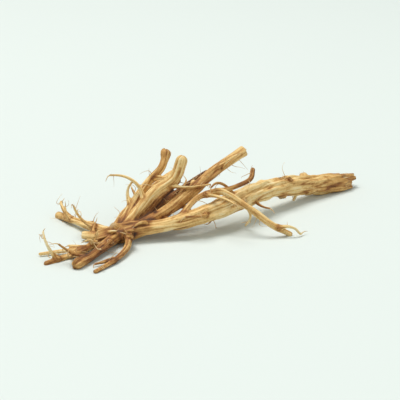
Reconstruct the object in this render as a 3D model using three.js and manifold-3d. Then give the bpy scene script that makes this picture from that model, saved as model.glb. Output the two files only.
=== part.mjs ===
// One dried ginseng root, lying on a table. Millimetres, +Z up.
//
// The body is torn off at its thick end and thins towards the crown, where it divides. Stout
// fingers fan up from the crown, tails trail away over the table, and a long thread crosses
// over the body. Everything grew as one piece, so it is one solid.
//
// Routes are written as the root lies in view: right, back, up, and then the thickness as a
// share of the branch's own. The finished root is turned so that its body runs along +X.

import * as THREE from "three";
import { mergeVertices } from "three/addons/utils/BufferGeometryUtils.js";
import Module from "manifold-3d";

const BODY_HALF = 1.85; // half the thickness of the body
const FINGER_HALF = 1.0; // half the thickness of a stout finger
const TAIL_HALF = 0.8; // half the thickness of a tail where it leaves the crown
const THREAD_HALF = 0.55; // half the thickness of a long thread
const ROOTLET_HALF = 0.36; // half the thickness of a side rootlet at its foot
const STRAND_HALF = 0.5; // half the thickness of a common strand at the torn end
const TURN_DEGREES = -37; // from the way the root lies in view to its own frame
const LOW = 2.6; // a rootlet that leaves lower than this leaves sideways or up
const CURL_STEPS = 4; // steps in which a side rootlet curls from its foot to its tip
const SEED = 109;

const BODY = {
  half: BODY_HALF,
  sides: 18,
  pitch: 0.95,
  ridges: 5,
  rootlets: 9,
  torn: true,
  route: [
    [27.5, 34.0, 1.55, 1.02],
    [22.5, 30.0, 2.4, 1.0],
    [17.5, 25.5, 3.5, 0.98],
    [12.5, 20.5, 4.4, 0.98],
    [8.5, 15.0, 4.8, 0.98],
    [4.5, 10.0, 4.5, 0.94],
    [0.5, 6.5, 4.0, 0.86],
    [-3.5, 4.3, 3.3, 0.74],
    [-7.5, 3.2, 2.7, 0.62],
    [-11.5, 2.6, 2.3, 0.76],
    [-15.0, 1.8, 1.9, 0.86],
    [-17.5, 0.6, 1.6, 0.7],
  ],
};

const FINGERS = [
  {
    // the long straight finger
    cut: true,
    rootlets: 3,
    route: [
      [-12.0, 3.0, 2.5, 1.15],
      [-7.0, 6.5, 4.6, 1.08],
      [-3.0, 9.4, 7.0, 1.02],
      [2.0, 14.3, 10.0, 1.0],
      [7.5, 18.9, 12.5, 0.95],
    ],
  },
  {
    // the stout finger that bends upright
    rootlets: 2,
    route: [
      [-14.6, 2.8, 2.5, 1.15],
      [-12.2, 5.6, 5.1, 1.0],
      [-9.4, 7.8, 7.6, 1.0],
      [-5.8, 9.5, 9.9, 1.08],
      [-4.3, 10.2, 13.5, 0.98],
    ],
  },
  {
    // the finger that ends in a knob
    rootlets: 2,
    route: [
      [-15.4, 2.8, 2.4, 0.95],
      [-13.0, 7.6, 6.0, 0.8],
      [-10.6, 10.3, 8.9, 0.75],
      [-8.5, 11.4, 11.0, 0.72],
      [-7.7, 12.6, 12.6, 0.72],
      [-7.5, 13.6, 13.9, 1.0],
    ],
  },
  {
    // the finger at the back
    cut: true,
    rootlets: 4,
    route: [
      [-16.5, 1.5, 2.0, 1.0],
      [-14.8, 7.5, 3.6, 0.9],
      [-11.5, 13.0, 5.4, 0.85],
      [-8.0, 17.5, 7.0, 0.8],
      [-5.0, 21.0, 8.2, 0.7],
    ],
  },
  {
    // the thin finger
    route: [
      [-12.0, 3.5, 2.8, 0.7],
      [-9.4, 8.2, 5.2, 0.58],
      [-7.0, 12.6, 6.4, 0.5],
      [-5.0, 17.0, 7.2, 0.42],
    ],
  },
  {
    // the brown finger
    rootlets: 2,
    route: [
      [-11.0, 3.5, 2.8, 0.8],
      [-7.5, 9.9, 5.0, 0.7],
      [-3.5, 15.0, 6.8, 0.62],
      [0.5, 20.0, 8.0, 0.5],
    ],
  },
].map((finger) => ({ half: FINGER_HALF, sides: 10, pitch: 1.45, ridges: 3, ...finger }));

const TAILS = [
  {
    // the long tail
    rootlets: 5,
    route: [
      [-15.5, 1.5, 1.7, 1.2],
      [-18.0, 0.0, 1.3, 1.0],
      [-20.5, -3.0, 0.9, 0.8],
      [-23.0, -6.0, 0.55, 0.65],
      [-28.0, -10.4, 0.2, 0.5],
    ],
  },
  {
    // the tail with a brown knob
    rootlets: 2,
    route: [
      [-16.0, 0.5, 1.6, 1.25],
      [-17.8, -3.5, 1.2, 1.1],
      [-19.8, -8.0, 0.95, 0.9],
      [-22.5, -12.5, 0.72, 1.25],
    ],
  },
  {
    // the thin brown tail
    rootlets: 2,
    route: [
      [-14.0, 1.5, 1.7, 0.95],
      [-14.0, -4.0, 1.0, 0.7],
      [-15.8, -9.5, 0.6, 0.55],
      [-19.0, -14.5, 0.2, 0.5],
    ],
  },
  {
    // the tail at the back
    rootlets: 4,
    route: [
      [-16.5, 1.6, 1.7, 1.2],
      [-20.5, 5.5, 1.5, 1.0],
      [-25.0, 11.0, 1.1, 0.85],
      [-28.5, 16.5, 0.35, 0.8],
    ],
  },
  {
    // the short tail
    cut: true,
    rootlets: 1,
    route: [
      [-17.0, 0.6, 1.6, 1.15],
      [-19.5, 1.2, 1.25, 1.0],
      [-22.5, 2.7, 0.95, 0.85],
    ],
  },
].map((tail) => ({ half: TAIL_HALF, sides: 8, pitch: 1.3, ridges: 3, ...tail }));

const THREADS = [
  {
    // the thread that crosses over the body and comes down in front
    rootlets: 3,
    route: [
      [-5.0, 4.4, 3.4, 1.25],
      [-2.5, 6.5, 6.0, 1.05],
      [-0.3, 7.8, 7.1, 1.0],
      [3.1, 8.2, 7.6, 1.0],
      [7.7, 5.6, 5.5, 1.0],
      [12.0, 4.4, 2.5, 0.95],
      [15.9, 5.4, 0.1, 0.85],
    ],
  },
  {
    // its fork, which stays up
    route: [
      [2.4, 8.3, 7.5, 0.9],
      [6.0, 10.6, 8.0, 0.8],
      [8.5, 12.7, 8.7, 0.75],
      [9.1, 14.6, 10.2, 0.65],
    ],
  },
  {
    // the thread that leaves the long tail
    route: [
      [-22.0, -4.8, 0.8, 0.8],
      [-25.5, -4.9, 0.6, 0.65],
      [-29.5, -6.2, 0.45, 0.5],
    ],
  },
].map((thread) => ({ half: THREAD_HALF, sides: 8, pitch: 1.4, ridges: 2, ...thread }));

// Feet of rootlets that broke away, as short stubs: a point in the body, and the stub's end.
const STUBS = [
  [
    [15.0, 23.0, 3.8],
    [15.3, 22.2, 1.9],
  ],
  [
    [20.5, 28.2, 3.0],
    [19.6, 29.4, 5.0],
  ],
  [
    [6.0, 11.8, 4.6],
    [7.6, 10.0, 4.9],
  ],
  [
    [-16.0, 1.5, 1.9],
    [-16.9, 0.9, 3.6],
  ],
].map(([foot, end]) => ({
  half: TAIL_HALF,
  sides: 8,
  pitch: 0.9,
  ridges: 2,
  cut: true,
  route: [
    [...foot, 1.15],
    [...end, 0.85],
  ],
}));

// Strands of the torn end: where each lies round the body, how far it stands out, and its
// thickness as a share of a common strand's.
const STRANDS = [
  [2.8, 4.3, 1.9],
  [0.7, 3.2, 1.9],
  [1.8, 2.3, 1.3],
  [4.5, 4.4, 1.3],
  [5.6, 2.8, 1.0],
  [3.7, 5.0, 0.8],
];

// Repeatable draws from 0 to 1.
function draws(seed) {
  let state = seed;
  return () => {
    state = (state + 0x6d2b79f5) | 0;
    let mixed = Math.imul(state ^ (state >>> 15), 1 | state);
    mixed = (mixed + Math.imul(mixed ^ (mixed >>> 7), 61 | mixed)) ^ mixed;
    return ((mixed ^ (mixed >>> 14)) >>> 0) / 4294967296;
  };
}

// A smooth line through a route, with the thickness beside it.
class Route {
  constructor({ route, half }) {
    const smooth = (points) => new THREE.CatmullRomCurve3(points, false, "catmullrom", 0.5);
    this.line = smooth(route.map(([x, y, z]) => new THREE.Vector3(x, y, z)));
    this.halves = smooth(route.map(([, , , share]) => new THREE.Vector3(half * share, 0, 0)));
    this.length = this.line.getLength();
  }
  at(share) {
    return this.line.getPointAt(share);
  }
  halfAt(share) {
    return this.halves.getPoint(this.line.getUtoTmapping(share)).x;
  }
}

// How far the dried skin stands above or below the round, as a share of the radius. Ridges run
// along the root and wander slowly round it, and the root swells and pinches on its way.
function relief(angle, along, ridges) {
  const twist = 0.16 * along;
  const ridge = Math.cos(ridges * angle + twist) + Math.cos((ridges + 2) * angle - 1.7 * twist);
  const swell = Math.sin(0.62 * along + ridges) + 0.7 * Math.sin(1.45 * along);
  return 0.06 * ridge + 0.035 * swell;
}

// How far a ring at either end is pushed along the route: a grown tip bulges, a foot runs on
// into what it grows from, and a torn end has a jagged rim round a hollow.
function endPush(branch, atFoot, onAxis, angle, half) {
  if (atFoot && branch.torn) return onAxis ? 0.9 : -0.6 * (1 + Math.sin(7 * angle));
  if (atFoot) return onAxis ? -0.3 * half : 0;
  return onAxis && !branch.cut ? 0.45 * half : 0;
}

// A branch: a straight root turned on a lathe, then bent along its route and ridged.
function branchGeometry(branch) {
  const route = new Route(branch);
  const rings = Math.max(4, Math.round(route.length / branch.pitch));
  const frames = route.line.computeFrenetFrames(rings);
  const profile = [new THREE.Vector2(0, 0), new THREE.Vector2(branch.torn ? 0.95 : 0.8, 0)];
  for (let ring = 1; ring < rings; ring += 1) profile.push(new THREE.Vector2(1, ring));
  profile.push(new THREE.Vector2(branch.cut ? 0.92 : 0.66, rings), new THREE.Vector2(0, rings));
  const geometry = new THREE.LatheGeometry(profile, branch.sides);
  const place = geometry.getAttribute("position");
  const spot = new THREE.Vector3();
  for (let i = 0; i < place.count; i += 1) {
    spot.fromBufferAttribute(place, i);
    const ring = Math.round(spot.y);
    const share = ring / rings;
    const width = Math.hypot(spot.x, spot.z);
    const angle = Math.atan2(spot.x, spot.z);
    const rise = relief(angle, share * route.length, branch.ridges);
    const half = route.halfAt(share);
    const radius = width * half * (1 + rise);
    const atEnd = ring === 0 || ring === rings;
    const push = atEnd ? endPush(branch, ring === 0, width < 1e-6, angle, half) : 0;
    const bent = route
      .at(share)
      .addScaledVector(frames.binormals[ring], radius * Math.sin(angle))
      .addScaledVector(frames.normals[ring], radius * Math.cos(angle))
      .addScaledVector(frames.tangents[ring], push);
    place.setXYZ(i, bent.x, bent.y, bent.z);
  }
  return geometry;
}

// Side rootlets, spaced along a branch and round it like the steps of a winding stair. Each
// leans towards the branch's tip, curls one way and thins to its end, clear of the table.
function sideRootlets(branch, draw) {
  const route = new Route(branch);
  const frames = route.line.computeFrenetFrames(100);
  const first = 6.28 * draw();
  const made = [];
  for (let k = 0; k < (branch.rootlets ?? 0); k += 1) {
    const share = 0.14 + (0.8 * (k + 0.8 * draw())) / branch.rootlets;
    const frame = Math.round(share * 100);
    const angle = first + 2.4 * k + 0.8 * draw();
    const out = frames.normals[frame]
      .clone()
      .multiplyScalar(Math.cos(angle))
      .addScaledVector(frames.binormals[frame], Math.sin(angle));
    const spot = route.at(share);
    if (spot.z < LOW) out.z = Math.abs(out.z);
    const step = (2.6 + 6.4 * draw() ** 1.5) / CURL_STEPS;
    const lean = 0.5 + 0.6 * draw();
    const heading = out.clone().addScaledVector(frames.tangents[frame], lean).normalize();
    const curl = new THREE.Vector3(draw() - 0.5, draw() - 0.5, draw() - 0.65).multiplyScalar(0.8);
    const knots = [];
    spot.addScaledVector(out, 0.55 * route.halfAt(share));
    for (let i = 0; i <= CURL_STEPS; i += 1) {
      const least = i === 0 ? spot.z : ROOTLET_HALF + 0.12;
      knots.push([spot.x, spot.y, Math.max(spot.z, least), 1 - (0.52 * i) / CURL_STEPS]);
      spot.addScaledVector(heading, step);
      heading.add(curl).normalize();
    }
    made.push({ half: ROOTLET_HALF, sides: 6, pitch: 1.2, ridges: 2, route: knots });
  }
  return made;
}

// Strands of the torn end, sunk into the body's rim and spread a little.
function tornStrands() {
  const route = new Route(BODY);
  const frames = route.line.computeFrenetFrames(100);
  const away = frames.tangents[0].clone().negate();
  const end = route.at(0);
  return STRANDS.map(([angle, length, share]) => {
    const side = frames.normals[0]
      .clone()
      .multiplyScalar(Math.cos(angle))
      .addScaledVector(frames.binormals[0], Math.sin(angle));
    const flush = BODY_HALF - STRAND_HALF * share;
    const knot = (reach, spread, thick) => {
      const at = end.clone().addScaledVector(away, reach).addScaledVector(side, flush * spread);
      return [at.x, at.y, Math.max(at.z, STRAND_HALF * thick * 0.7), thick];
    };
    return {
      half: STRAND_HALF,
      sides: 7,
      pitch: 1.1,
      ridges: 2,
      route: [
        knot(-2.2, 0.8, share),
        knot(0.3 * length, 1.0, share),
        knot(length, 1.1, 0.35 + 0.25 * share),
      ],
    };
  });
}

const wasm = await Module();
wasm.setup();

// A three.js geometry as a solid that can be joined and cut.
function solid(geometry) {
  geometry.deleteAttribute("normal");
  geometry.deleteAttribute("uv");
  const merged = mergeVertices(geometry, 1e-4);
  const corners = merged.index.array;
  const faces = [];
  for (let i = 0; i < corners.length; i += 3) {
    const [a, b, c] = corners.slice(i, i + 3);
    if (a !== b && b !== c && c !== a) faces.push(a, b, c);
  }
  return new wasm.Manifold(
    new wasm.Mesh({
      numProp: 3,
      vertProperties: merged.getAttribute("position").array,
      triVerts: new Uint32Array(faces),
    }),
  );
}

function rootSolid() {
  const grown = [BODY, ...FINGERS, ...TAILS, ...THREADS];
  const draw = draws(SEED);
  const fine = grown.flatMap((branch) => sideRootlets(branch, draw));
  const branches = [...grown, ...STUBS, ...tornStrands(), ...fine];
  const joined = branches.map((b) => solid(branchGeometry(b))).reduce((a, b) => a.add(b));
  const table = solid(new THREE.BoxGeometry(200, 200, 20).translate(0, 0, -10));
  return joined.subtract(table);
}

function geometryOf(made) {
  const { vertProperties, triVerts } = made.getMesh();
  const geometry = new THREE.BufferGeometry();
  geometry.setAttribute("position", new THREE.Float32BufferAttribute(vertProperties, 3));
  geometry.setIndex(new THREE.BufferAttribute(triVerts, 1));
  geometry.rotateZ(THREE.MathUtils.degToRad(TURN_DEGREES));
  geometry.computeBoundingBox();
  const middle = geometry.boundingBox.getCenter(new THREE.Vector3());
  geometry.translate(-middle.x, -middle.y, 0);
  geometry.computeVertexNormals();
  return geometry;
}

const bark = new THREE.MeshStandardMaterial({ color: 0xcca86d, roughness: 0.85, metalness: 0 });
const root = new THREE.Mesh(geometryOf(rootSolid()), bark);
root.name = "ginseng_root";

const group = new THREE.Group();
group.add(root);

export default group;
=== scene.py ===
import math

import bmesh
import bpy
import numpy as np
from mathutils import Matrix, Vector, noise


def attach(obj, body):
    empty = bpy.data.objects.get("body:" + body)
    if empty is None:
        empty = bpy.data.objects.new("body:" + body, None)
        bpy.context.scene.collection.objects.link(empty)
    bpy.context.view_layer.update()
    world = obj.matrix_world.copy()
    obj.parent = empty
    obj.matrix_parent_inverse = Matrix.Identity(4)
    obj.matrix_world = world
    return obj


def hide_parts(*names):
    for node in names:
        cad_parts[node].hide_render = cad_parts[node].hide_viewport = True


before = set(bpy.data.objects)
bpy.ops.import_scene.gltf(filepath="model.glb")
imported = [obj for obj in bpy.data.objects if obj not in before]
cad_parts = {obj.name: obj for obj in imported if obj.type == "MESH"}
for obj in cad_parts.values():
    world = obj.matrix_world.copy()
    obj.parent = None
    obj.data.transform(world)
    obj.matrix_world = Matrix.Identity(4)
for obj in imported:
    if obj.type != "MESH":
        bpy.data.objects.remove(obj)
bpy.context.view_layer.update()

# The grown root
# One dried ginseng root: a body torn off at its thick end, the crown where it divides, stout
# fingers, tails, threads and side rootlets, all grown as one piece. As it dried the soft inside
# shrank and drew the thin skin into long furrows and fine rings. Sizes here are millimetres.

BODY_HALF = 1.85
FINGER_HALF = 1.0
TAIL_HALF = 0.8
THREAD_HALF = 0.55
ROOTLET_HALF = 0.36
STRAND_HALF = 0.5

# How dark a limb's bark is, from 0 for pale straw to 1 for nearly black.
PALE, STRAW, TAN, BROWN = 0.08, 0.27, 0.45, 0.68

# Routes are written the way the root lies in view. Turned, its middle is the part's origin.
TURN = math.radians(-37)
MIDDLE = (9.427604, 12.267693)
MILLIMETRE = 0.001


def in_row(points):
    """From the way the root lies in view, in millimetres, to the part's frame, in metres."""
    points = np.atleast_2d(np.asarray(points, float))
    c, s = math.cos(TURN), math.sin(TURN)
    x = points[:, 0] * c - points[:, 1] * s - MIDDLE[0]
    y = points[:, 0] * s + points[:, 1] * c - MIDDLE[1]
    return np.column_stack([x, y, points[:, 2]]) * MILLIMETRE


def unit(vectors):
    return vectors / np.maximum(np.linalg.norm(vectors, axis=-1, keepdims=True), 1e-9)


TWIST = 0.16  # radians that the broad ridges wander round a limb in a millimetre
RIDGE, SWELLING = 0.06, 0.035  # their height and a swelling's, as shares of the radius


def relief(angle, along, ridges):
    """The broad ridges and swellings, as a share of the radius."""
    twist = TWIST * along
    ridge = np.cos(ridges * angle + twist) + np.cos((ridges + 2) * angle - 1.7 * twist)
    swell = np.sin(0.62 * along + ridges) + 0.7 * np.sin(1.45 * along)
    return RIDGE * ridge + SWELLING * swell


SAMPLES = 201  # points at which the length of a route is measured
SEGMENT, FEWEST = 0.4, 6  # longest straight stretch of a limb's line, and its fewest stretches
TIP = 0.55  # a round tip's line stops short of its end by this share of the half thickness
FLARE_LENGTH = 0.7  # how far the flare at a rootlet's foot reaches
HOLLOW = 0.9  # depth of the hollow in the torn end
RIM_START, RIM_WIDTH = 0.35, 0.6  # where the hollow's slope starts and its width, as shares of the radius
TOOTH, TEETH = 0.6, 7  # half the height of a tooth on the torn rim, and the number of teeth
SLANT = 0.12  # unevenness of a snapped end
AT_ONCE = 20000  # points looked at together, which keeps the memory small


class Limb:
    """A branch: a smooth line through its route, with its thickness and tones along it.

    A point of a route is right, back, up and the thickness there, as a share of half. A limb
    that is cut snapped off at its end, and the torn one was pulled off at its start.
    """

    def __init__(self, route, half, ridges, tones, rootlets=0, cut=False, torn=False, flare=0.0, edge=0.06):
        self.knots = np.array(route, float)
        self.knots[:, 3] *= half
        self.ridges, self.rootlets, self.cut, self.torn = ridges, rootlets, cut, torn
        self.flare, self.edge, self.tones = flare, edge, tones
        steps = np.diff(self.curve(np.linspace(0, 1, SAMPLES))[:, :3], axis=0)
        self.lengths = np.concatenate([[0], np.cumsum(np.linalg.norm(steps, axis=1))])
        self.length = self.lengths[-1]
        self.reach = self.length if cut else self.length - TIP * self.knots[-1, 3]
        self.segments = max(FEWEST, math.ceil(self.reach / SEGMENT))
        rows = self.frames(self.segments, self.reach)
        self.points, self.halves, self.tangents, self.normals, self.binormals = rows

    def curve(self, t):
        """The Catmull-Rom curve through the route, with t from 0 to 1."""
        k = self.knots
        padded = np.vstack([2 * k[0] - k[1], k, 2 * k[-1] - k[-2]])
        at = np.clip(t, 0, 1) * (len(k) - 1)
        i = np.minimum(at.astype(int), len(k) - 2)
        w = (at - i)[:, None]
        before, here, there, after = (padded[i + j] for j in range(4))
        leave, arrive = 0.5 * (there - before), 0.5 * (after - here)
        bend = -3 * here + 3 * there - 2 * leave - arrive
        return here + leave * w + bend * w**2 + (2 * here - 2 * there + leave + arrive) * w**3

    def frames(self, segments, reach):
        """Points spaced evenly along the limb, its half thickness there, and three directions."""
        even = np.linspace(0, reach, segments + 1)
        t = np.interp(even, self.lengths, np.linspace(0, 1, SAMPLES))
        here = self.curve(t)
        ahead = self.curve(np.minimum(t + 1e-4, 1)) - self.curve(np.maximum(t - 1e-4, 0))
        tangents = unit(ahead[:, :3])
        axis = np.eye(3)[np.abs(tangents[0]).argmin()]
        normals = [np.cross(tangents[0], unit(np.cross(tangents[0], axis)))]
        for tangent in tangents[1:]:
            normals.append(unit(normals[-1] - tangent * (normals[-1] @ tangent)))
        normals = np.array(normals)
        return here[:, :3], here[:, 3], tangents, normals, np.cross(tangents, normals)

    def place(self, p):
        """How many segments along the limb the nearest point of its line lies."""
        start, step = self.points[:-1], np.diff(self.points, axis=0)
        square = (step**2).sum(1)
        found = []
        for part in np.array_split(p, len(p) // AT_ONCE + 1):
            ahead = part @ step.T - (start * step).sum(1)
            share = np.clip(ahead / square, 0, 1)
            gap = (start**2).sum(1) - 2 * part @ start.T - 2 * share * ahead + share**2 * square
            i = gap.argmin(1)
            found.append(i + share[np.arange(len(part)), i])
        return np.concatenate(found)

    def skin(self, p):
        """For points near the limb: their distance from its skin and the way out, how far along and
        round it they lie, the radius there, and how much they belong to its broken end."""
        place = self.place(p)
        i = np.minimum(place.astype(int), self.segments - 1)
        w = (place - i)[:, None]

        def between(rows):
            return rows[i] * (1 - w) + rows[i + 1] * w

        tangent, normal = unit(between(self.tangents)), unit(between(self.normals))
        binormal = np.cross(tangent, normal)
        away = p - between(self.points)
        at_end = (place <= 0) | (place >= self.segments)
        over = np.where(at_end, (away * tangent).sum(1), 0)
        across = away - over[:, None] * tangent
        wide = np.linalg.norm(across, axis=1)
        angle = np.arctan2((across * binormal).sum(1), (across * normal).sum(1))
        along = place * self.reach / self.segments
        half = between(self.halves[:, None])[:, 0]
        flare = self.flare * np.exp(-along / FLARE_LENGTH)
        half = half * (1 + relief(angle, along, self.ridges) + flare)
        if not (self.cut or self.torn):
            return np.hypot(wide, over) - half, unit(away), along, angle, half, np.zeros(len(p))
        side = wide - half
        if self.torn:
            rim = np.clip((wide / half - RIM_START) / RIM_WIDTH, 0, 1)
            cap = -along - over + HOLLOW - rim * (HOLLOW + TOOTH * (1 + np.sin(TEETH * angle)))
            face = -tangent
        else:
            cap = along + over - self.length + SLANT * np.cos(2 * angle + self.ridges)
            face = tangent
        top = np.maximum(side, cap)
        by_side, by_cap = np.exp((side - top) / self.edge), np.exp((cap - top) / self.edge)
        both = by_side + by_cap
        out = unit(unit(across) * by_side[:, None] + face * by_cap[:, None])
        return top + self.edge * np.log(both), out, along, angle, half, by_cap / both


body = Limb(
    [
        (27.5, 34.0, 1.55, 1.02),
        (22.5, 30.0, 2.4, 1.0),
        (17.5, 25.5, 3.5, 0.98),
        (12.5, 20.5, 4.4, 0.98),
        (8.5, 15.0, 4.8, 0.98),
        (4.5, 10.0, 4.5, 0.94),
        (0.5, 6.5, 4.0, 0.86),
        (-3.5, 4.3, 3.3, 0.74),
        (-7.5, 3.2, 2.7, 0.62),
        (-11.5, 2.6, 2.3, 0.76),
        (-15.0, 1.8, 1.9, 0.86),
        (-17.5, 0.6, 1.6, 0.7),
    ],
    BODY_HALF,
    5,
    rootlets=9,
    torn=True,
    tones=(0.52, 0.42, STRAW, STRAW, 0.3, 0.42, 0.4),
)
long_finger = Limb(
    [
        (-12.0, 3.0, 2.5, 1.15),
        (-7.0, 6.5, 4.6, 1.08),
        (-3.0, 9.4, 7.0, 1.02),
        (2.0, 14.3, 10.0, 1.0),
        (7.5, 18.9, 12.5, 0.95),
    ],
    FINGER_HALF,
    3,
    rootlets=3,
    cut=True,
    tones=(TAN, 0.5, 0.38),
)
bent_finger = Limb(
    [
        (-14.6, 2.8, 2.5, 1.15),
        (-12.2, 5.6, 5.1, 1.0),
        (-9.4, 7.8, 7.6, 1.0),
        (-5.8, 9.5, 9.9, 1.08),
        (-4.3, 10.2, 13.5, 0.98),
    ],
    FINGER_HALF,
    3,
    rootlets=2,
    tones=(0.35, STRAW, STRAW, 0.4),
)
knob_finger = Limb(
    [
        (-15.4, 2.8, 2.4, 0.95),
        (-13.0, 7.6, 6.0, 0.8),
        (-10.6, 10.3, 8.9, 0.75),
        (-8.5, 11.4, 11.0, 0.72),
        (-7.7, 12.6, 12.6, 0.72),
        (-7.5, 13.6, 13.9, 1.0),
    ],
    FINGER_HALF,
    3,
    rootlets=2,
    tones=(TAN, 0.35, 0.55),
)
back_finger = Limb(
    [
        (-16.5, 1.5, 2.0, 1.0),
        (-14.8, 7.5, 3.6, 0.9),
        (-11.5, 13.0, 5.4, 0.85),
        (-8.0, 17.5, 7.0, 0.8),
        (-5.0, 21.0, 8.2, 0.7),
    ],
    FINGER_HALF,
    3,
    rootlets=4,
    cut=True,
    tones=(STRAW, TAN),
)
thin_finger = Limb(
    [
        (-12.0, 3.5, 2.8, 0.7),
        (-9.4, 8.2, 5.2, 0.58),
        (-7.0, 12.6, 6.4, 0.5),
        (-5.0, 17.0, 7.2, 0.42),
    ],
    FINGER_HALF,
    3,
    tones=(TAN, BROWN),
)
brown_finger = Limb(
    [
        (-11.0, 3.5, 2.8, 0.8),
        (-7.5, 9.9, 5.0, 0.7),
        (-3.5, 15.0, 6.8, 0.62),
        (0.5, 20.0, 8.0, 0.5),
    ],
    FINGER_HALF,
    3,
    rootlets=2,
    tones=(BROWN, 0.75, BROWN),
)
long_tail = Limb(
    [
        (-15.5, 1.5, 1.7, 1.2),
        (-18.0, 0.0, 1.3, 1.0),
        (-20.5, -3.0, 0.9, 0.8),
        (-23.0, -6.0, 0.55, 0.65),
        (-28.0, -10.4, 0.2, 0.5),
    ],
    TAIL_HALF,
    3,
    rootlets=5,
    tones=(STRAW, TAN, 0.55),
)
knob_tail = Limb(
    [
        (-16.0, 0.5, 1.6, 1.25),
        (-17.8, -3.5, 1.2, 1.1),
        (-19.8, -8.0, 0.95, 0.9),
        (-22.5, -12.5, 0.72, 1.25),
    ],
    TAIL_HALF,
    3,
    rootlets=2,
    tones=(TAN, 0.7, 0.78, 0.56),
)
brown_tail = Limb(
    [
        (-14.0, 1.5, 1.7, 0.95),
        (-14.0, -4.0, 1.0, 0.7),
        (-15.8, -9.5, 0.6, 0.55),
        (-19.0, -14.5, 0.2, 0.5),
    ],
    TAIL_HALF,
    3,
    rootlets=2,
    tones=(TAN, BROWN, BROWN),
)
back_tail = Limb(
    [
        (-16.5, 1.6, 1.7, 1.2),
        (-20.5, 5.5, 1.5, 1.0),
        (-25.0, 11.0, 1.1, 0.85),
        (-28.5, 16.5, 0.35, 0.8),
    ],
    TAIL_HALF,
    3,
    rootlets=4,
    tones=(STRAW, STRAW, TAN),
)
short_tail = Limb(
    [
        (-17.0, 0.6, 1.6, 1.15),
        (-19.5, 1.2, 1.25, 1.0),
        (-22.5, 2.7, 0.95, 0.85),
    ],
    TAIL_HALF,
    3,
    rootlets=1,
    cut=True,
    tones=(TAN, STRAW),
)
crossing_thread = Limb(
    [
        (-5.0, 4.4, 3.4, 1.25),
        (-2.5, 6.5, 6.0, 1.05),
        (-0.3, 7.8, 7.1, 1.0),
        (3.1, 8.2, 7.6, 1.0),
        (7.7, 5.6, 5.5, 1.0),
        (12.0, 4.4, 2.5, 0.95),
        (15.9, 5.4, 0.1, 0.85),
    ],
    THREAD_HALF,
    2,
    rootlets=3,
    tones=(TAN, 0.42, 0.38, 0.38, 0.44),
)
forked_thread = Limb(
    [
        (2.4, 8.3, 7.5, 0.9),
        (6.0, 10.6, 8.0, 0.8),
        (8.5, 12.7, 8.7, 0.75),
        (9.1, 14.6, 10.2, 0.65),
    ],
    THREAD_HALF,
    2,
    tones=(STRAW, BROWN, 0.72),
)
tail_thread = Limb(
    [
        (-22.0, -4.8, 0.8, 0.8),
        (-25.5, -4.9, 0.6, 0.65),
        (-29.5, -6.2, 0.45, 0.5),
    ],
    THREAD_HALF,
    2,
    tones=(TAN, STRAW),
)
fingers = [long_finger, bent_finger, knob_finger, back_finger, thin_finger, brown_finger]
tails = [long_tail, knob_tail, brown_tail, back_tail, short_tail]
threads = [crossing_thread, forked_thread, tail_thread]
branches = [body, *fingers, *tails, *threads]

# Stubs are the feet of rootlets that broke away, each from a point in its limb to its end.
stubs = [
    Limb([(*foot, 1.15), (*end, 0.85)], TAIL_HALF, 2, cut=True, edge=0.2, tones=(STRAW, TAN))
    for foot, end in [
        ((15.0, 23.0, 3.8), (15.3, 22.2, 1.9)),
        ((20.5, 28.2, 3.0), (19.6, 29.4, 5.0)),
        ((6.0, 11.8, 4.6), (7.6, 10.0, 4.9)),
        ((-16.0, 1.5, 1.9), (-16.9, 0.9, 3.6)),
    ]
]

# Where each torn strand lies round the body, how far it stands out, and its share of thickness.
strands = []
for angle, length, share in [
    (2.8, 4.3, 1.9),
    (0.7, 3.2, 1.9),
    (1.8, 2.3, 1.3),
    (4.5, 4.4, 1.3),
    (5.6, 2.8, 1.0),
    (3.7, 5.0, 0.8),
]:
    side = body.normals[0] * math.cos(angle) + body.binormals[0] * math.sin(angle)
    flush = BODY_HALF - STRAND_HALF * share
    route = []
    for reach, spread, thick in [
        (-2.2, 0.8, share),
        (0.3 * length, 1.0, share),
        (length, 1.1, 0.35 + 0.25 * share),
    ]:
        x, y, z = body.points[0] - body.tangents[0] * reach + side * flush * spread
        route.append((x, y, max(z, STRAND_HALF * thick * 0.7), thick))
    strands.append(Limb(route, STRAND_HALF, 2, tones=(0.5, 0.58)))


def draws(seed):
    """The same repeatable draws from 0 to 1 that space the rootlets of the solid root."""
    word = 0xFFFFFFFF
    state = seed
    while True:
        state = (state + 0x6D2B79F5) & word
        mixed = (state ^ (state >> 15)) * (1 | state) & word
        mixed = (mixed + ((mixed ^ (mixed >> 7)) * (61 | mixed) & word) & word) ^ mixed
        yield (mixed ^ (mixed >> 14)) / 4294967296


# Side rootlets stand round a limb like the steps of a winding stair. Each leans towards the
# limb's tip, curls one way and thins to its end.
ROOTLET_SEED = 109
PLACES = 100  # places along a limb where a rootlet can stand
BEFORE, SPREAD = 0.14, 0.8  # shares of a limb that lie before its rootlets and under them
STAIR, PLAY = 2.4, 0.8  # radians from one rootlet to the next, and how far each may stray
LOW = 2.6  # a rootlet whose foot is lower than this leaves its limb sideways or up
SHORTEST, LONGER = 2.6, 6.4  # the least length, and how much longer a rootlet can be
FOOT = 0.55  # where the rootlet's line starts inside the limb, as a share of the limb's radius
CURL, CURL_STEPS = 0.8, 4
THINNED = 0.52  # share of its thickness that a rootlet loses by its tip
ROOTLET_CLEAR = 0.12  # room that is left under a rootlet

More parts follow.
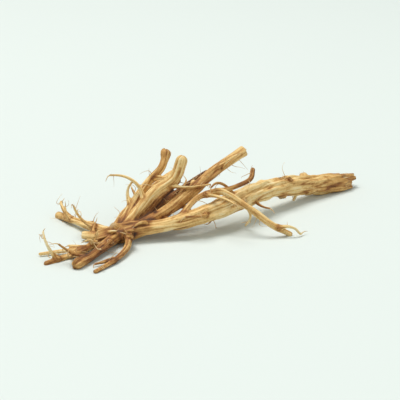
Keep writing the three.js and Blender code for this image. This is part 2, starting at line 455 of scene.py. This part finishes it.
draw = draws(ROOTLET_SEED)
rootlets = []
for limb in branches:
    _, _, tangents, normals, binormals = limb.frames(PLACES, limb.length)
    first = 6.28 * next(draw)
    for k in range(limb.rootlets):
        share = BEFORE + SPREAD * (k + PLAY * next(draw)) / limb.rootlets
        i = math.floor(share * PLACES + 0.5)
        angle = first + STAIR * k + PLAY * next(draw)
        out = normals[i] * math.cos(angle) + binormals[i] * math.sin(angle)
        spot, half, _, _, _ = (rows[-1] for rows in limb.frames(10, share * limb.length))
        if spot[2] < LOW:
            out[2] = abs(out[2])
        step = (SHORTEST + LONGER * next(draw) ** 1.5) / CURL_STEPS
        heading = unit(out + tangents[i] * (0.5 + 0.6 * next(draw)))
        curl = np.array([next(draw) - 0.5, next(draw) - 0.5, next(draw) - 0.65]) * CURL
        route = []
        spot = spot + out * FOOT * half
        for n in range(CURL_STEPS + 1):
            least = spot[2] if n == 0 else ROOTLET_HALF + ROOTLET_CLEAR
            route.append((spot[0], spot[1], max(spot[2], least), 1 - THINNED * n / CURL_STEPS))
            spot = spot + heading * step
            heading = unit(heading + curl)
        tone = PALE + 0.55 * ((k * 0.618 + len(rootlets) * 0.37) % 1)
        tones = (0.5 * (tone + limb.tones[-1]), tone, tone + 0.08)
        rootlets.append(Limb(route, ROOTLET_HALF, 2, flare=0.55, tones=tones))

limbs = [*branches, *stubs, *strands, *rootlets]

GRAIN_GAP = 11  # how far apart two limbs lie in the grain, so that no two look alike


def swept(points, halves, sides, flatness=1.0):
    """Rings round a line, closed at both ends: vertices, faces, and where each lies in the grain."""
    tangents = unit(np.gradient(points, axis=0))
    normals = [unit(np.cross(tangents[0], np.eye(3)[np.abs(tangents[0]).argmin()]))]
    for tangent in tangents[1:]:
        normals.append(unit(normals[-1] - tangent * (normals[-1] @ tangent)))
    normals = np.array(normals)
    binormals = np.cross(tangents, normals)
    angles = np.linspace(0, 2 * math.pi, sides, endpoint=False)
    wide = np.asarray(halves)[:, None] * np.cos(angles)
    thick = np.asarray(halves)[:, None] * np.sin(angles) * flatness
    rings = normals[:, None] * wide[..., None] + binormals[:, None] * thick[..., None]
    vertices = (points[:, None] + rings).reshape(-1, 3)
    along = np.concatenate([[0], np.cumsum(np.linalg.norm(np.diff(points, axis=0), axis=1))])
    grain = np.stack([wide, thick, np.broadcast_to(along[:, None], wide.shape)], -1).reshape(-1, 3)
    faces = []
    for ring in range(len(points) - 1):
        for k in range(sides):
            a, b = ring * sides + k, ring * sides + (k + 1) % sides
            faces.append((a, b, b + sides, a + sides))
    last = (len(points) - 1) * sides
    faces.append(tuple(range(sides - 1, -1, -1)))
    faces.append(tuple(range(last, last + sides)))
    return vertices, faces, grain


def mesh_of(name, strips, place=np.asarray):
    """One mesh from many swept strips, each with its own stretch of grain."""
    faces, count = [], 0
    for vertices, strip_faces, _ in strips:
        faces.extend(tuple(i + count for i in face) for face in strip_faces)
        count += len(vertices)
    mesh = bpy.data.meshes.new(name)
    mesh.from_pydata(place(np.vstack([vertices for vertices, _, _ in strips])).tolist(), [], faces)
    grain = np.vstack([rows + (0, 0, GRAIN_GAP * k) for k, (_, _, rows) in enumerate(strips)])
    layer = mesh.attributes.new("grain", "FLOAT_VECTOR", "POINT")
    layer.data.foreach_set("vector", grain.astype(np.float32).ravel())
    mesh.polygons.foreach_set("use_smooth", np.ones(len(mesh.polygons), bool))
    mesh.update()
    return mesh


NEAR = 1.3  # a limb has no say in points that lie further off than this
JOIN = 0.2  # how softly two limbs run into each other where they meet
FARTHEST = 0.2  # how far a point is moved in one step


def close_to(limb, p):
    """Which of the points are near enough for the limb to have a say in them."""
    low = limb.points.min(0) - limb.halves.max() - NEAR
    high = limb.points.max(0) + limb.halves.max() + NEAR
    return np.nonzero(((p > low) & (p < high)).all(1))[0]


def drawn_to_limbs(p, steps):
    """Points moved onto the limbs' skin, with a small fillet where two limbs meet.

    With them come the way out of the skin at each, and the limbs' say in it summed up.
    """
    for _ in range(steps):
        total, out = np.full(len(p), 1e-12), np.zeros_like(p)
        for limb in limbs:
            near = close_to(limb, p)
            distance, way, _, _, _, _ = limb.skin(p[near])
            pull = np.exp(-np.clip(distance, -1, 3) / JOIN)
            total[near] += pull
            out[near] += way * pull[:, None]
        out = unit(out)
        p = p - out * np.clip(-JOIN * np.log(total), -FARTHEST, FARTHEST)[:, None]
    return p, out, total


# Swollen rods along every limb are melted into one skin of small, even faces, which is drawn
# in to the limbs. Melted and drawn a second time, it has no pocket left inside.
SWOLLEN, ROD_SIDES = 0.08, 16
TORN_SPARE = 0.7  # how far the body's rod runs past the torn end, for its teeth
VOXEL = 0.175

rods = []
for limb in limbs:
    points, halves = limb.points.copy(), limb.halves + SWOLLEN
    if limb.torn:
        points[0] -= limb.tangents[0] * TORN_SPARE
    if not limb.cut:
        points = np.vstack([points, points[-1] + limb.tangents[-1] * halves[-1] * 0.8])
        halves = np.append(halves, halves[-1] * 0.5)
    rods.append(swept(points, halves, ROD_SIDES))
root = bpy.data.objects.new("root_grown", mesh_of("rods", rods))
bpy.context.scene.collection.objects.link(root)
for steps in (4, 3):
    melt = root.modifiers.new("melt", "REMESH")
    melt.mode = "VOXEL"
    melt.voxel_size = VOXEL
    bpy.context.view_layer.update()
    seen = root.evaluated_get(bpy.context.evaluated_depsgraph_get())
    melted = bpy.data.meshes.new_from_object(seen)
    root.modifiers.clear()
    root.data = melted
    flat = np.zeros(len(melted.vertices) * 3, np.float32)
    melted.vertices.foreach_get("co", flat)
    spots, out, total = drawn_to_limbs(flat.reshape(-1, 3).astype(float), steps)
    melted.vertices.foreach_set("co", spots.astype(np.float32).ravel())
    melted.update()


# The skin creases where a slow noise, drawn out along the limb, crosses zero. Coarse and fine
# furrows run lengthways, rings run round the limb, and lumps lie under them.
SOFT = 0.03  # how rounded the bottom of a crease is
FINEST = 2.0  # fine furrows come no closer together than this, or the faces couldn't show them
FURROW_TWIST = 0.045  # radians that the furrows wander round a limb in a millimetre
NOISE_GAP = 7.3  # how far apart two limbs lie in the noise
SUNK_SKIN = 0.12  # how far the lowest skin lies under the broad form, as a share of the radius


def furrows(limb, along, angle, half):
    """Height of the drawn skin over the broad form, and how deep in a furrow it lies."""
    turn = angle + FURROW_TWIST * along
    rate = 1.5 / np.sqrt(np.maximum(half, 0.1))
    x, y, start = np.cos(turn) * half, np.sin(turn) * half, NOISE_GAP * limbs.index(limb)

    def folds(across, lengthways, shift):
        at = np.column_stack([x * across + start, y * across + shift, along * lengthways + start])
        return np.hypot([noise.noise(row) for row in at.tolist()], SOFT) - SOFT

    coarse, fine = folds(rate, 0.09, 0), folds(np.minimum(2.3 * rate, FINEST), 0.15, 5)
    rings, lumps = folds(0.35 * rate, 1.5, 9), folds(0.3 * rate, 0.4, 14)
    depth = np.clip(1 - coarse / 0.11, 0, 1) + 0.5 * np.clip(1 - fine / 0.1, 0, 1)
    depth += 0.25 * np.clip(1 - rings / 0.06, 0, 1)
    height = 0.36 * np.clip(coarse, 0, 0.4) + 0.16 * fine + 0.04 * rings
    return half * (height + 0.07 * lumps - SUNK_SKIN), np.clip(depth, 0, 1)


def evened(rows):
    """Each vertex's value averaged with its neighbours', so that no step between faces shows."""
    ends = np.zeros(len(melted.edges) * 2, np.int32)
    melted.edges.foreach_get("vertices", ends)
    a, b = ends.reshape(-1, 2).T
    count = np.bincount(ends, minlength=len(rows))
    around = np.bincount(a, rows[b], len(rows)) + np.bincount(b, rows[a], len(rows))
    return 0.5 * rows + 0.5 * around / count


# Each vertex gets its rise over the broad form, how deep in a furrow it is, its tone, how bare
# of bark it is, and its grain. Furrows, the corners between limbs and the places where limbs
# crowd are darkened with dirt and painted shade. A stub or a torn strand makes no such corner
# with the body.
SHELTER = 0.6  # how far a limb's painted shade and dirt reach round it
LEAST_SAY = 0.03  # a limb with less say than this in a vertex is left out
NOOK_DIRT_AND_SHADE = 2.2  # how fast the dirt and painted shade deepen towards the bottom of a corner between limbs

strongest, trunk = np.zeros(len(spots)), np.zeros(len(spots))
rise, furrow_dirt_and_shade, tone, crowd = (np.zeros(len(spots)) for _ in range(4))
bared, grain = np.zeros(len(spots)), np.zeros_like(spots)
for limb in limbs:
    near = close_to(limb, spots)
    distance, way, along, angle, half, cap = limb.skin(spots[near])
    if limb not in strands:
        stout = min(1, limb.halves.mean() / TAIL_HALF)
        crowd[near] += stout * np.exp(-np.clip(distance, 0, 3) / SHELTER)
    say = np.exp(-np.clip(distance, -1, 3) / JOIN) / total[near]
    kept = say > LEAST_SAY
    near, say, along, angle, half, cap = (rows[kept] for rows in (near, say, along, angle, half, cap))
    height, depth = furrows(limb, along, angle, half)
    shares = np.linspace(0, 1, len(limb.tones))
    rise[near] += say * height * (1 - cap)
    furrow_dirt_and_shade[near] += say * depth
    tone[near] += say * np.interp(along / limb.length, shares, limb.tones)
    bared[near] += say * cap
    if limb is body or limb in strands or limb in stubs:
        trunk[near] += say
    first = say > strongest[near]
    strongest[near[first]] = say[first]
    lengthways = along + GRAIN_GAP * limbs.index(limb)
    rows = np.column_stack([np.cos(angle) * half, np.sin(angle) * half, lengthways])
    grain[near[first]] = rows[first]
# Dirt and painted shade: darker in the corners between limbs and where stout limbs crowd.
nook_dirt_and_shade = np.clip((1 - np.maximum(strongest, trunk)) * NOOK_DIRT_AND_SHADE, 0, 1)
crowd_dirt_and_shade = np.clip(crowd - 1, 0, 1)
spots += out * evened(rise)[:, None]
spots[:, 2] = np.maximum(spots[:, 2], 0)

melted.vertices.foreach_set("co", spots.astype(np.float32).ravel())
melted.update()

FOLDED = math.radians(110)  # an edge whose two faces turn by more than this is folded
STRETCHED = 0.55  # an edge longer than this is stretched
ROUNDS, SMOOTHINGS = 6, 8  # how often such edges are looked for, and smoothed each time
RINGS = 2  # rings of vertices round them that are smoothed with them


def unfold(mesh):
    """Evens out the faces that lie folded or stretched where the skin is pinched between limbs."""
    shape = bmesh.new()
    shape.from_mesh(mesh)
    for _ in range(ROUNDS):
        shape.normal_update()
        edges = [e for e in shape.edges if e.calc_face_angle(0) > FOLDED or e.calc_length() > STRETCHED]
        pinched = {vertex for edge in edges for vertex in edge.verts}
        for _ in range(RINGS):
            pinched |= {edge.other_vert(vertex) for vertex in pinched for edge in vertex.link_edges}
        pinched = sorted(pinched, key=lambda vertex: vertex.index)
        for _ in range(SMOOTHINGS):
            bmesh.ops.smooth_vert(
                shape, verts=pinched, factor=0.5, use_axis_x=True, use_axis_y=True, use_axis_z=True
            )
    shape.to_mesh(mesh)
    shape.free()


unfold(melted)
melted.vertices.foreach_get("co", flat)
melted.vertices.foreach_set("co", in_row(flat.reshape(-1, 3)).astype(np.float32).ravel())
for name, rows in (
    ("furrow_dirt_and_shade", evened(furrow_dirt_and_shade)),
    ("tone", tone),
    ("bared", bared),
    ("nook_dirt_and_shade", nook_dirt_and_shade),
    ("crowd_dirt_and_shade", crowd_dirt_and_shade),
):
    layer = melted.attributes.new(name, "FLOAT", "POINT")
    layer.data.foreach_set("value", rows.astype(np.float32))
layer = melted.attributes.new("grain", "FLOAT_VECTOR", "POINT")
layer.data.foreach_set("vector", grain.astype(np.float32).ravel())
melted.polygons.foreach_set("use_smooth", np.ones(len(melted.polygons), bool))
melted.update()

# Dried bark: fine streaks run along each limb, with dark flecks, and the furrows darker than the
# ridges with dirt and painted shade. The group is shared by the root, its hairs and its torn fibres.


def bark_streaks():
    group = bpy.data.node_groups.new("bark_streaks", "ShaderNodeTree")
    face = group.interface
    face.new_socket("Grain", in_out="INPUT", socket_type="NodeSocketVector")
    for name, value in (("Across", 3.0), ("Along", 0.35), ("Flecks", 0.5)):
        socket = face.new_socket(name, in_out="INPUT", socket_type="NodeSocketFloat")
        socket.default_value = value
    for name in ("Streak", "Patch", "Fleck", "Height"):
        face.new_socket(name, in_out="OUTPUT", socket_type="NodeSocketFloat")
    nodes, links = group.nodes, group.links
    given, made = nodes.new("NodeGroupInput"), nodes.new("NodeGroupOutput")
    stretch = nodes.new("ShaderNodeCombineXYZ")
    links.new(given.outputs["Across"], stretch.inputs["X"])
    links.new(given.outputs["Across"], stretch.inputs["Y"])
    links.new(given.outputs["Along"], stretch.inputs["Z"])
    drawn = nodes.new("ShaderNodeVectorMath")
    drawn.operation = "MULTIPLY"
    links.new(given.outputs["Grain"], drawn.inputs[0])
    links.new(stretch.outputs["Vector"], drawn.inputs[1])
    streak = nodes.new("ShaderNodeTexNoise")
    streak.inputs["Scale"].default_value = 1.0
    streak.inputs["Detail"].default_value = 4.0
    streak.inputs["Roughness"].default_value = 0.62
    links.new(drawn.outputs["Vector"], streak.inputs["Vector"])
    long = nodes.new("ShaderNodeVectorMath")
    long.operation = "MULTIPLY"
    long.inputs[1].default_value = (1, 1, 0.3)
    links.new(given.outputs["Grain"], long.inputs[0])
    patch = nodes.new("ShaderNodeTexNoise")
    patch.inputs["Scale"].default_value = 0.6
    patch.inputs["Detail"].default_value = 2.0
    links.new(long.outputs["Vector"], patch.inputs["Vector"])
    speck = nodes.new("ShaderNodeTexNoise")
    speck.inputs["Scale"].default_value = 4.2
    speck.inputs["Detail"].default_value = 3.0
    links.new(given.outputs["Grain"], speck.inputs["Vector"])
    chosen = nodes.new("ShaderNodeMapRange")
    chosen.inputs["From Min"].default_value = 0.6
    chosen.inputs["From Max"].default_value = 0.7
    links.new(speck.outputs["Fac"], chosen.inputs["Value"])
    fleck = nodes.new("ShaderNodeMath")
    fleck.operation = "MULTIPLY"
    links.new(chosen.outputs["Result"], fleck.inputs[0])
    links.new(given.outputs["Flecks"], fleck.inputs[1])
    wrinkle = nodes.new("ShaderNodeMath")
    wrinkle.operation = "PINGPONG"
    wrinkle.inputs[1].default_value = 0.12
    links.new(streak.outputs["Fac"], wrinkle.inputs[0])
    height = nodes.new("ShaderNodeMath")
    height.operation = "MULTIPLY_ADD"
    height.inputs[1].default_value = 0.25
    links.new(speck.outputs["Fac"], height.inputs[0])
    tall = nodes.new("ShaderNodeMath")
    tall.operation = "MULTIPLY"
    tall.inputs[1].default_value = 6.0
    links.new(wrinkle.outputs["Value"], tall.inputs[0])
    links.new(tall.outputs["Value"], height.inputs[2])
    links.new(streak.outputs["Fac"], made.inputs["Streak"])
    links.new(patch.outputs["Fac"], made.inputs["Patch"])
    links.new(fleck.outputs["Value"], made.inputs["Fleck"])
    links.new(height.outputs["Value"], made.inputs["Height"])
    return group


STREAK_DEPTH = 0.07

streaks = bark_streaks()
bark = bpy.data.materials.new("dried_bark")
bark.use_nodes = True
nodes, links = bark.node_tree.nodes, bark.node_tree.links
shader = nodes["Principled BSDF"]


def read_from_mesh(name):
    node = nodes.new("ShaderNodeAttribute")
    node.attribute_type = "GEOMETRY"
    node.attribute_name = name
    return node


def weighed(first, factor, second):
    """first * factor + second, where second is a socket or a number."""
    node = nodes.new("ShaderNodeMath")
    node.operation = "MULTIPLY_ADD"
    links.new(first, node.inputs[0])
    node.inputs[1].default_value = factor
    if isinstance(second, (int, float)):
        node.inputs[2].default_value = second
    else:
        links.new(second, node.inputs[2])
    return node.outputs["Value"]


marks = nodes.new("ShaderNodeGroup")
marks.node_tree = streaks
marks.inputs["Across"].default_value = 3.2
marks.inputs["Along"].default_value = 0.12
marks.inputs["Flecks"].default_value = 0.35
links.new(read_from_mesh("grain").outputs["Vector"], marks.inputs["Grain"])
furrow_dirt_and_shade_value = read_from_mesh("furrow_dirt_and_shade").outputs["Fac"]
# How dark the bark is: its tone, streaks, patches and flecks, with the dirt and painted shade of furrows
# and corners.
age_and_shade = weighed(marks.outputs["Streak"], 0.95, read_from_mesh("tone").outputs["Fac"])
age_and_shade = weighed(marks.outputs["Patch"], 0.56, age_and_shade)
# Darker in the furrows: dirt and painted shade.
age_and_shade = weighed(furrow_dirt_and_shade_value, 0.4, age_and_shade)
# Darker in the corners between limbs and where limbs crowd: dirt and painted shade.
age_and_shade = weighed(read_from_mesh("nook_dirt_and_shade").outputs["Fac"], 0.22, age_and_shade)
age_and_shade = weighed(read_from_mesh("crowd_dirt_and_shade").outputs["Fac"], 0.22, age_and_shade)
age_and_shade = weighed(marks.outputs["Fleck"], 0.3, age_and_shade)
aged_and_shaded = nodes.new("ShaderNodeMath")
aged_and_shaded.operation = "SUBTRACT"
aged_and_shaded.inputs[1].default_value = 0.90
links.new(age_and_shade, aged_and_shaded.inputs[0])
colours = nodes.new("ShaderNodeValToRGB")
ramp = colours.color_ramp
ramp.elements[0].position, ramp.elements[0].color = 0.0, (0.93, 0.77, 0.46, 1)
ramp.elements[1].position, ramp.elements[1].color = 1.0, (0.06, 0.02, 0.006, 1)
for position, colour in (
    (0.25, (0.87, 0.60, 0.245, 1)),
    (0.45, (0.62, 0.335, 0.096, 1)),
    (0.68, (0.33, 0.122, 0.022, 1)),
    (0.85, (0.18, 0.062, 0.012, 1)),
):
    ramp.elements.new(position).color = colour
links.new(aged_and_shaded.outputs["Value"], colours.inputs["Fac"])
wood = nodes.new("ShaderNodeValToRGB")
wood.color_ramp.elements[0].position, wood.color_ramp.elements[0].color = 0.3, (0.42, 0.26, 0.11, 1)
wood.color_ramp.elements[1].position, wood.color_ramp.elements[1].color = 0.65, (0.74, 0.58, 0.35, 1)
links.new(marks.outputs["Streak"], wood.inputs["Fac"])
faced = nodes.new("ShaderNodeMix")
faced.data_type = "RGBA"
links.new(read_from_mesh("bared").outputs["Fac"], faced.inputs[0])
links.new(colours.outputs["Color"], faced.inputs["A"])
links.new(wood.outputs["Color"], faced.inputs["B"])
links.new(faced.outputs["Result"], shader.inputs["Base Color"])
links.new(weighed(marks.outputs["Streak"], 0.3, 0.52), shader.inputs["Roughness"])
bump = nodes.new("ShaderNodeBump")
bump.inputs["Strength"].default_value = 0.7
bump.inputs["Distance"].default_value = STREAK_DEPTH * MILLIMETRE
links.new(marks.outputs["Height"], bump.inputs["Height"])
links.new(bump.outputs["Normal"], shader.inputs["Normal"])
melted.materials.append(bark)
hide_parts("ginseng_root")
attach(root, "root")

# Hair roots
# Brittle hairs, finer than the rootlets, that are left along the limbs. Each is a thread of the
# same dried skin that curled as it dried.

HAIRS = 150
HAIR_HALF = 0.085
HAIR_SEED = 7
HAIR_STEPS, HAIR_SIDES = 10, 6
HAIR_CURL, WANDER, DROOP = 0.22, 0.12, 0.04  # how much the heading changes in one step
HAIR_LOW = 0.07  # a hair's line comes no lower than this
FOOT_IN = 0.75  # where a hair starts inside its limb, as a share of the limb's radius
rng = np.random.default_rng(HAIR_SEED)


def hair(start, heading, length, thick):
    """A thread that wanders, curls and droops a little from its start and thins to its end."""
    curl = rng.normal(0, HAIR_CURL, 3)
    knots = [start]
    for _ in range(HAIR_STEPS):
        knots.append(knots[-1] + heading * length / HAIR_STEPS)
        heading = unit(heading + curl + rng.normal(0, WANDER, 3) + (0, 0, -DROOP))
    knots = np.array(knots)
    knots[:, 2] = np.maximum(knots[:, 2], HAIR_LOW)
    return swept(knots, thick * np.linspace(1, 0.3, HAIR_STEPS + 1) ** 1.3, HAIR_SIDES)


carriers = [*branches, *rootlets]
spans = np.array([limb.length for limb in carriers])
hairs = []
for pick in rng.choice(len(carriers), HAIRS, p=spans / spans.sum()):
    limb = carriers[pick]
    i = rng.integers(2, len(limb.points))
    angle = rng.uniform(0, 2 * math.pi)
    side = limb.normals[i] * math.cos(angle) + limb.binormals[i] * math.sin(angle)
    heading = unit(side + limb.tangents[i] * rng.uniform(-0.4, 1.0))
    start = limb.points[i] + side * limb.halves[i] * FOOT_IN
    hairs.append(hair(start, heading, rng.uniform(1.0, 3.8), HAIR_HALF * rng.uniform(0.6, 1.1)))

# A rootlet that didn't snap runs on into a hair.
for limb in rootlets:
    start, heading, half = limb.points[-1], limb.tangents[-1], limb.halves[-1]
    hairs.append(hair(start - heading * 0.2, heading, rng.uniform(0.8, 2.4), half * 0.85))
hair_roots = bpy.data.objects.new("hair_roots", mesh_of("hair_roots", hairs, in_row))
bpy.context.scene.collection.objects.link(hair_roots)

hair_skin = bpy.data.materials.new("hair_skin")
hair_skin.use_nodes = True
nodes, links = hair_skin.node_tree.nodes, hair_skin.node_tree.links
shader = nodes["Principled BSDF"]
marks = nodes.new("ShaderNodeGroup")
marks.node_tree = streaks
marks.inputs["Across"].default_value = 6.0
marks.inputs["Along"].default_value = 0.5
links.new(read_from_mesh("grain").outputs["Vector"], marks.inputs["Grain"])
tints = nodes.new("ShaderNodeValToRGB")
tints.color_ramp.elements[0].position, tints.color_ramp.elements[0].color = 0.35, (0.8, 0.6, 0.32, 1)
tints.color_ramp.elements[1].position, tints.color_ramp.elements[1].color = 0.65, (0.5, 0.28, 0.1, 1)
links.new(marks.outputs["Patch"], tints.inputs["Fac"])
links.new(tints.outputs["Color"], shader.inputs["Base Color"])
links.new(weighed(marks.outputs["Streak"], 0.3, 0.5), shader.inputs["Roughness"])
hair_roots.data.materials.append(hair_skin)
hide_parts("ginseng_root")
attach(hair_roots, "root")

# Torn fibres
# Where the root was torn off, and at the snapped ends, flat slivers of the pale inside stand
# out of the break. They are the woody strands that ran through the root.

FIBRE_SUNK = 0.9  # how deep in the limb a sliver starts
FIBRE_LOW = 0.06  # a sliver's line comes no lower than this
FIBRE_SIDES, FLATNESS = 6, 0.45
TAPER = np.array([1, 1, 1, 0.95, 0.85, 0.65, 0.4, 0.1])

# Each break has its limb, the broken point of it and the way it faces, the number of slivers,
# and the length and half width of the largest.
slivers = []
breaks = [(body, 0, -1, 64, 3.6, 0.17)]
breaks += [(limb, -1, 1, 9, 0.45, 0.1) for limb in (long_finger, back_finger, short_tail)]
breaks += [(limb, -1, 1, 7, 0.25, 0.08) for limb in stubs]
for limb, end, way, count, longest, widest in breaks:
    for _ in range(count):
        angle = rng.uniform(0, 2 * math.pi)
        reach = limb.halves[end] * math.sqrt(rng.uniform(0.1, 0.92))
        side = limb.normals[end] * math.cos(angle) + limb.binormals[end] * math.sin(angle)
        ahead = unit(limb.tangents[end] * way + side * rng.normal(0.06, 0.09))
        length = longest * rng.uniform(0.25, 1.0)
        start = limb.points[end] + side * reach - ahead * FIBRE_SUNK
        share = np.linspace(0, 1, len(TAPER))[:, None]
        bow = side * rng.normal(0, 0.05) * longest
        knots = start + ahead * share * (length + FIBRE_SUNK) + bow * share**2
        knots[:, 2] = np.maximum(knots[:, 2], FIBRE_LOW)
        halves = widest * rng.uniform(0.4, 1.0) * TAPER
        slivers.append(swept(knots, halves, FIBRE_SIDES, FLATNESS))
torn_fibres = bpy.data.objects.new("torn_fibres", mesh_of("torn_fibres", slivers, in_row))
bpy.context.scene.collection.objects.link(torn_fibres)

pale_wood = bpy.data.materials.new("pale_wood")
pale_wood.use_nodes = True
nodes, links = pale_wood.node_tree.nodes, pale_wood.node_tree.links
shader = nodes["Principled BSDF"]
marks = nodes.new("ShaderNodeGroup")
marks.node_tree = streaks
marks.inputs["Across"].default_value = 7.0
marks.inputs["Along"].default_value = 0.4
links.new(read_from_mesh("grain").outputs["Vector"], marks.inputs["Grain"])
tints = nodes.new("ShaderNodeValToRGB")
tints.color_ramp.elements[0].position, tints.color_ramp.elements[0].color = 0.3, (0.40, 0.235, 0.09, 1)
tints.color_ramp.elements[1].position, tints.color_ramp.elements[1].color = 0.6, (0.72, 0.53, 0.28, 1)
links.new(marks.outputs["Streak"], tints.inputs["Fac"])
links.new(tints.outputs["Color"], shader.inputs["Base Color"])
links.new(weighed(marks.outputs["Patch"], 0.3, 0.55), shader.inputs["Roughness"])
torn_fibres.data.materials.append(pale_wood)
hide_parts("ginseng_root")
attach(torn_fibres, "root")

# The table
# A plain white table top, so wide that its edges are out of view. It lies a hair's breadth
# under the root, so that the two don't share a plane.

TABLE_HALF = 2.0
TABLE_GAP = 0.00001
corners = [(x * TABLE_HALF, y * TABLE_HALF, 0) for x, y in ((-1, -1), (1, -1), (1, 1), (-1, 1))]
table_mesh = bpy.data.meshes.new("table_top")
table_mesh.from_pydata(corners, [], [(0, 1, 2, 3)])
table = bpy.data.objects.new("table_top", table_mesh)
table.location.z = -TABLE_GAP
bpy.context.scene.collection.objects.link(table)
white = bpy.data.materials.new("white_table")
white.use_nodes = True
nodes, links = white.node_tree.nodes, white.node_tree.links
shader = nodes["Principled BSDF"]
shader.inputs["Base Color"].default_value = (0.685, 0.735, 0.715, 1)
shader.inputs["Roughness"].default_value = 0.75
table_mesh.materials.append(white)

# Light and camera
# Soft studio light from above and from the front right, and a camera that looks down on the
# root at the photograph's angle and from the same side.

VIEW_HEIGHT = math.radians(17.5)
CAMERA_DISTANCE = 0.245
LENS = 120
world = bpy.data.worlds.new("studio")
bpy.context.scene.world = world
world.use_nodes = True
world.node_tree.nodes["Background"].inputs["Color"].default_value = (0.93, 1.0, 0.97, 1)
world.node_tree.nodes["Background"].inputs["Strength"].default_value = 0.45
aim = Vector(in_row((-1.0, 5.0, 7.0))[0])


def lamp(name, at, size, power, colour):
    light = bpy.data.lights.new(name, "AREA")
    light.size, light.energy, light.color = size, power, colour
    holder = bpy.data.objects.new(name, light)
    holder.location = in_row(at)[0]
    holder.rotation_euler = (aim - holder.location).to_track_quat("-Z", "Y").to_euler()
    bpy.context.scene.collection.objects.link(holder)


lamp("top_light", at=(-290, 180, 1100), size=0.62, power=11.4, colour=(1.0, 0.985, 0.95))
lamp("side_light", at=(520, -520, 600), size=0.80, power=1.6, colour=(0.95, 1.0, 0.98))

camera = bpy.data.objects.new("camera", bpy.data.cameras.new("camera"))
camera.data.lens = LENS
camera.data.clip_start = 0.01
towards_viewer = (0, -math.cos(VIEW_HEIGHT), math.sin(VIEW_HEIGHT))
back = Vector(in_row(towards_viewer)[0] - in_row((0, 0, 0))[0])
camera.location = aim + back.normalized() * CAMERA_DISTANCE
camera.rotation_euler = (aim - camera.location).to_track_quat("-Z", "Y").to_euler()
bpy.context.scene.collection.objects.link(camera)
bpy.context.scene.camera = camera
bpy.context.scene.view_settings.view_transform = "Standard"
